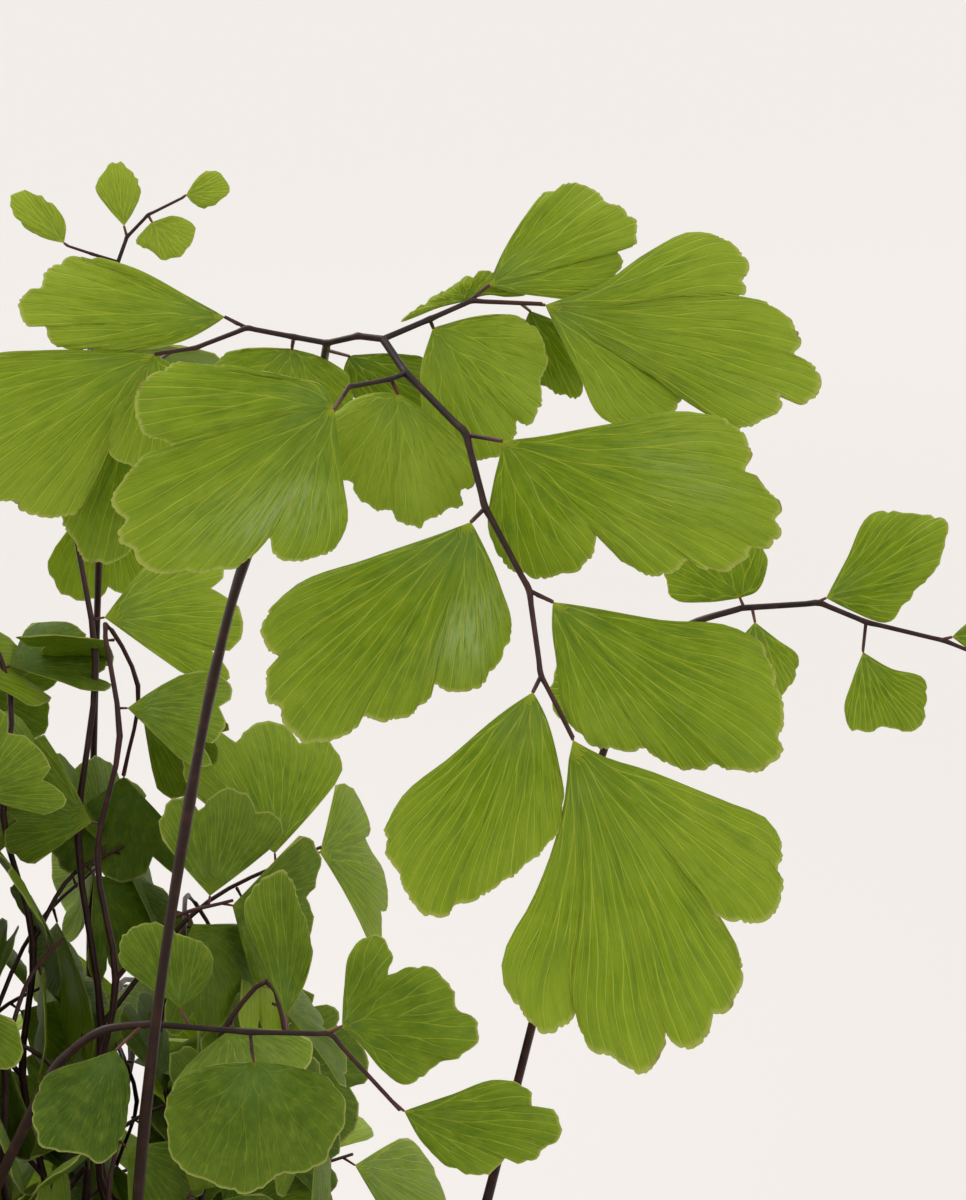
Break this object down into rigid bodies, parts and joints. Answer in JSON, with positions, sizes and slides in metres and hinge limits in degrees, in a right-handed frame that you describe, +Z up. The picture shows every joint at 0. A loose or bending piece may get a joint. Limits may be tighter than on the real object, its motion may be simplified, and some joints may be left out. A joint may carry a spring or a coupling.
{
  "type": "potted maidenhair fern",
  "caption": "Maidenhair fern with fan-shaped lobed leaflets on thin dark arching stems, in a plain round clay pot of soil.",
  "frame": {"origin": "middle of the underside of the pot's foot", "axes": "+Z up; the front frond arches out towards -Y, and the picture looks along +Y and slightly down"},
  "size_m": [0.2422, 0.2449, 0.3011],
  "materials": {
    "clay": "matt unglazed clay",
    "soil": "loose dark potting soil",
    "leaf": "thin soft green leaf with fine veins on dark wiry stems"
  },
  "bodies": {
    "root": {"pot": "clay", "soil": "soil", "frond_01": "leaf", "frond_02": "leaf", "frond_03": "leaf", "frond_04": "leaf", "frond_05": "leaf", "frond_06": "leaf", "frond_07": "leaf", "frond_08": "leaf", "frond_09": "leaf", "frond_10": "leaf", "frond_11": "leaf", "frond_12": "leaf", "frond_13": "leaf", "frond_14": "leaf", "frond_15": "leaf", "frond_16": "leaf", "frond_17": "leaf", "front_frond": "leaf", "right_frond": "leaf", "low_frond": "leaf"}
  },
  "joints": []
}
